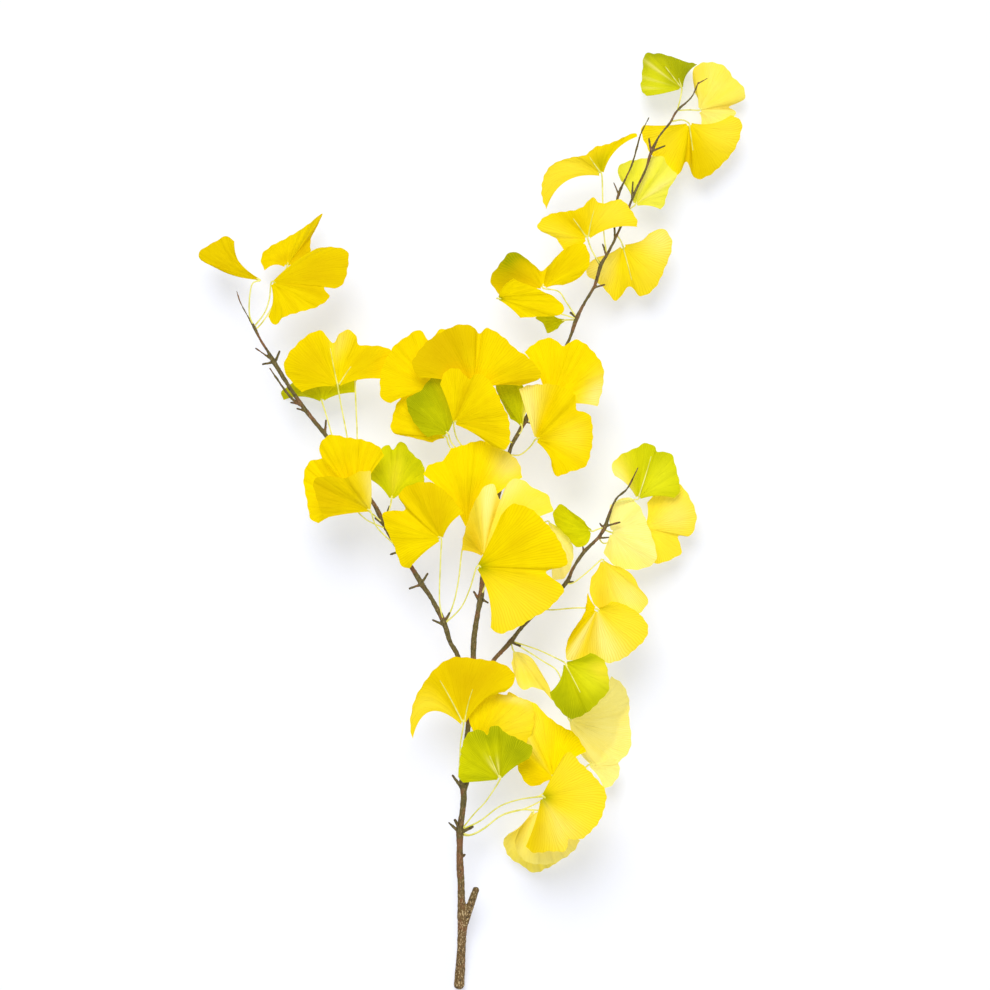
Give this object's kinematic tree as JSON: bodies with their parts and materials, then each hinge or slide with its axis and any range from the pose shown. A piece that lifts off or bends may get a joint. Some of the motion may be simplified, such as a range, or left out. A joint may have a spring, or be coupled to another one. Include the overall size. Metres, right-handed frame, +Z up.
{
  "type": "artificial ginkgo branch",
  "caption": "Artificial ginkgo branch with fan-shaped yellow and green fabric leaves on thin stalks along a forked brown stem, lying on a surface.",
  "frame": {"origin": "on the surface that the branch lies on, under the middle of its box", "axes": "+Y along the branch from the stem's cut end to its tip, +X to the right of that, +Z up from the surface"},
  "size_m": [0.5444, 0.9326, 0.1068],
  "materials": {
    "leaf_gold": "matt coated cloth",
    "leaf_pale": "matt coated cloth",
    "leaf_green": "matt coated cloth",
    "bark": "moulded bark"
  },
  "bodies": {
    "root": {"main_stem": "bark", "left_branch": "bark", "right_branch": "bark", "upper_twig": "bark", "left_twig": "bark", "left_tip_small": "leaf_gold", "left_tip_fold": "leaf_gold", "left_tip_broad": "leaf_gold", "left_wide": "leaf_gold", "left_under_green": "leaf_green", "left_hidden": "leaf_gold", "left_low_top": "leaf_gold", "left_low_side": "leaf_gold", "left_low_front": "leaf_gold", "left_low_green": "leaf_green", "mid_left": "leaf_gold", "mid_crown": "leaf_gold", "mid_pale": "leaf_pale", "mid_front": "leaf_gold", "mid_back": "leaf_pale", "crown_front": "leaf_gold", "crown_green": "leaf_green", "crown_left_low": "leaf_gold", "crown_left": "leaf_gold", "crown_top": "leaf_gold", "crown_mid_green": "leaf_green", "crown_right": "leaf_gold", "crown_right_low": "leaf_gold", "upper_bowl": "leaf_gold", "upper_lap": "leaf_gold", "upper_small_green": "leaf_green", "upper_right_rib": "leaf_gold", "upper_star": "leaf_gold", "upper_bird": "leaf_gold", "upper_big": "leaf_gold", "upper_lime": "leaf_pale", "tip_yellow": "leaf_pale", "tip_green": "leaf_green", "right_green": "leaf_green", "right_gold": "leaf_gold", "right_pale": "leaf_pale", "right_hang": "leaf_gold", "right_fold": "leaf_gold", "right_olive": "leaf_green", "right_fan": "leaf_pale", "low_droop": "leaf_gold", "low_slip": "leaf_pale", "low_green": "leaf_green", "low_shelf": "leaf_gold", "low_gold": "leaf_gold", "low_front": "leaf_gold", "low_right_pale": "leaf_pale", "low_behind": "leaf_pale", "low_between": "leaf_pale", "right_leaf_green": "leaf_green"}
  },
  "joints": []
}
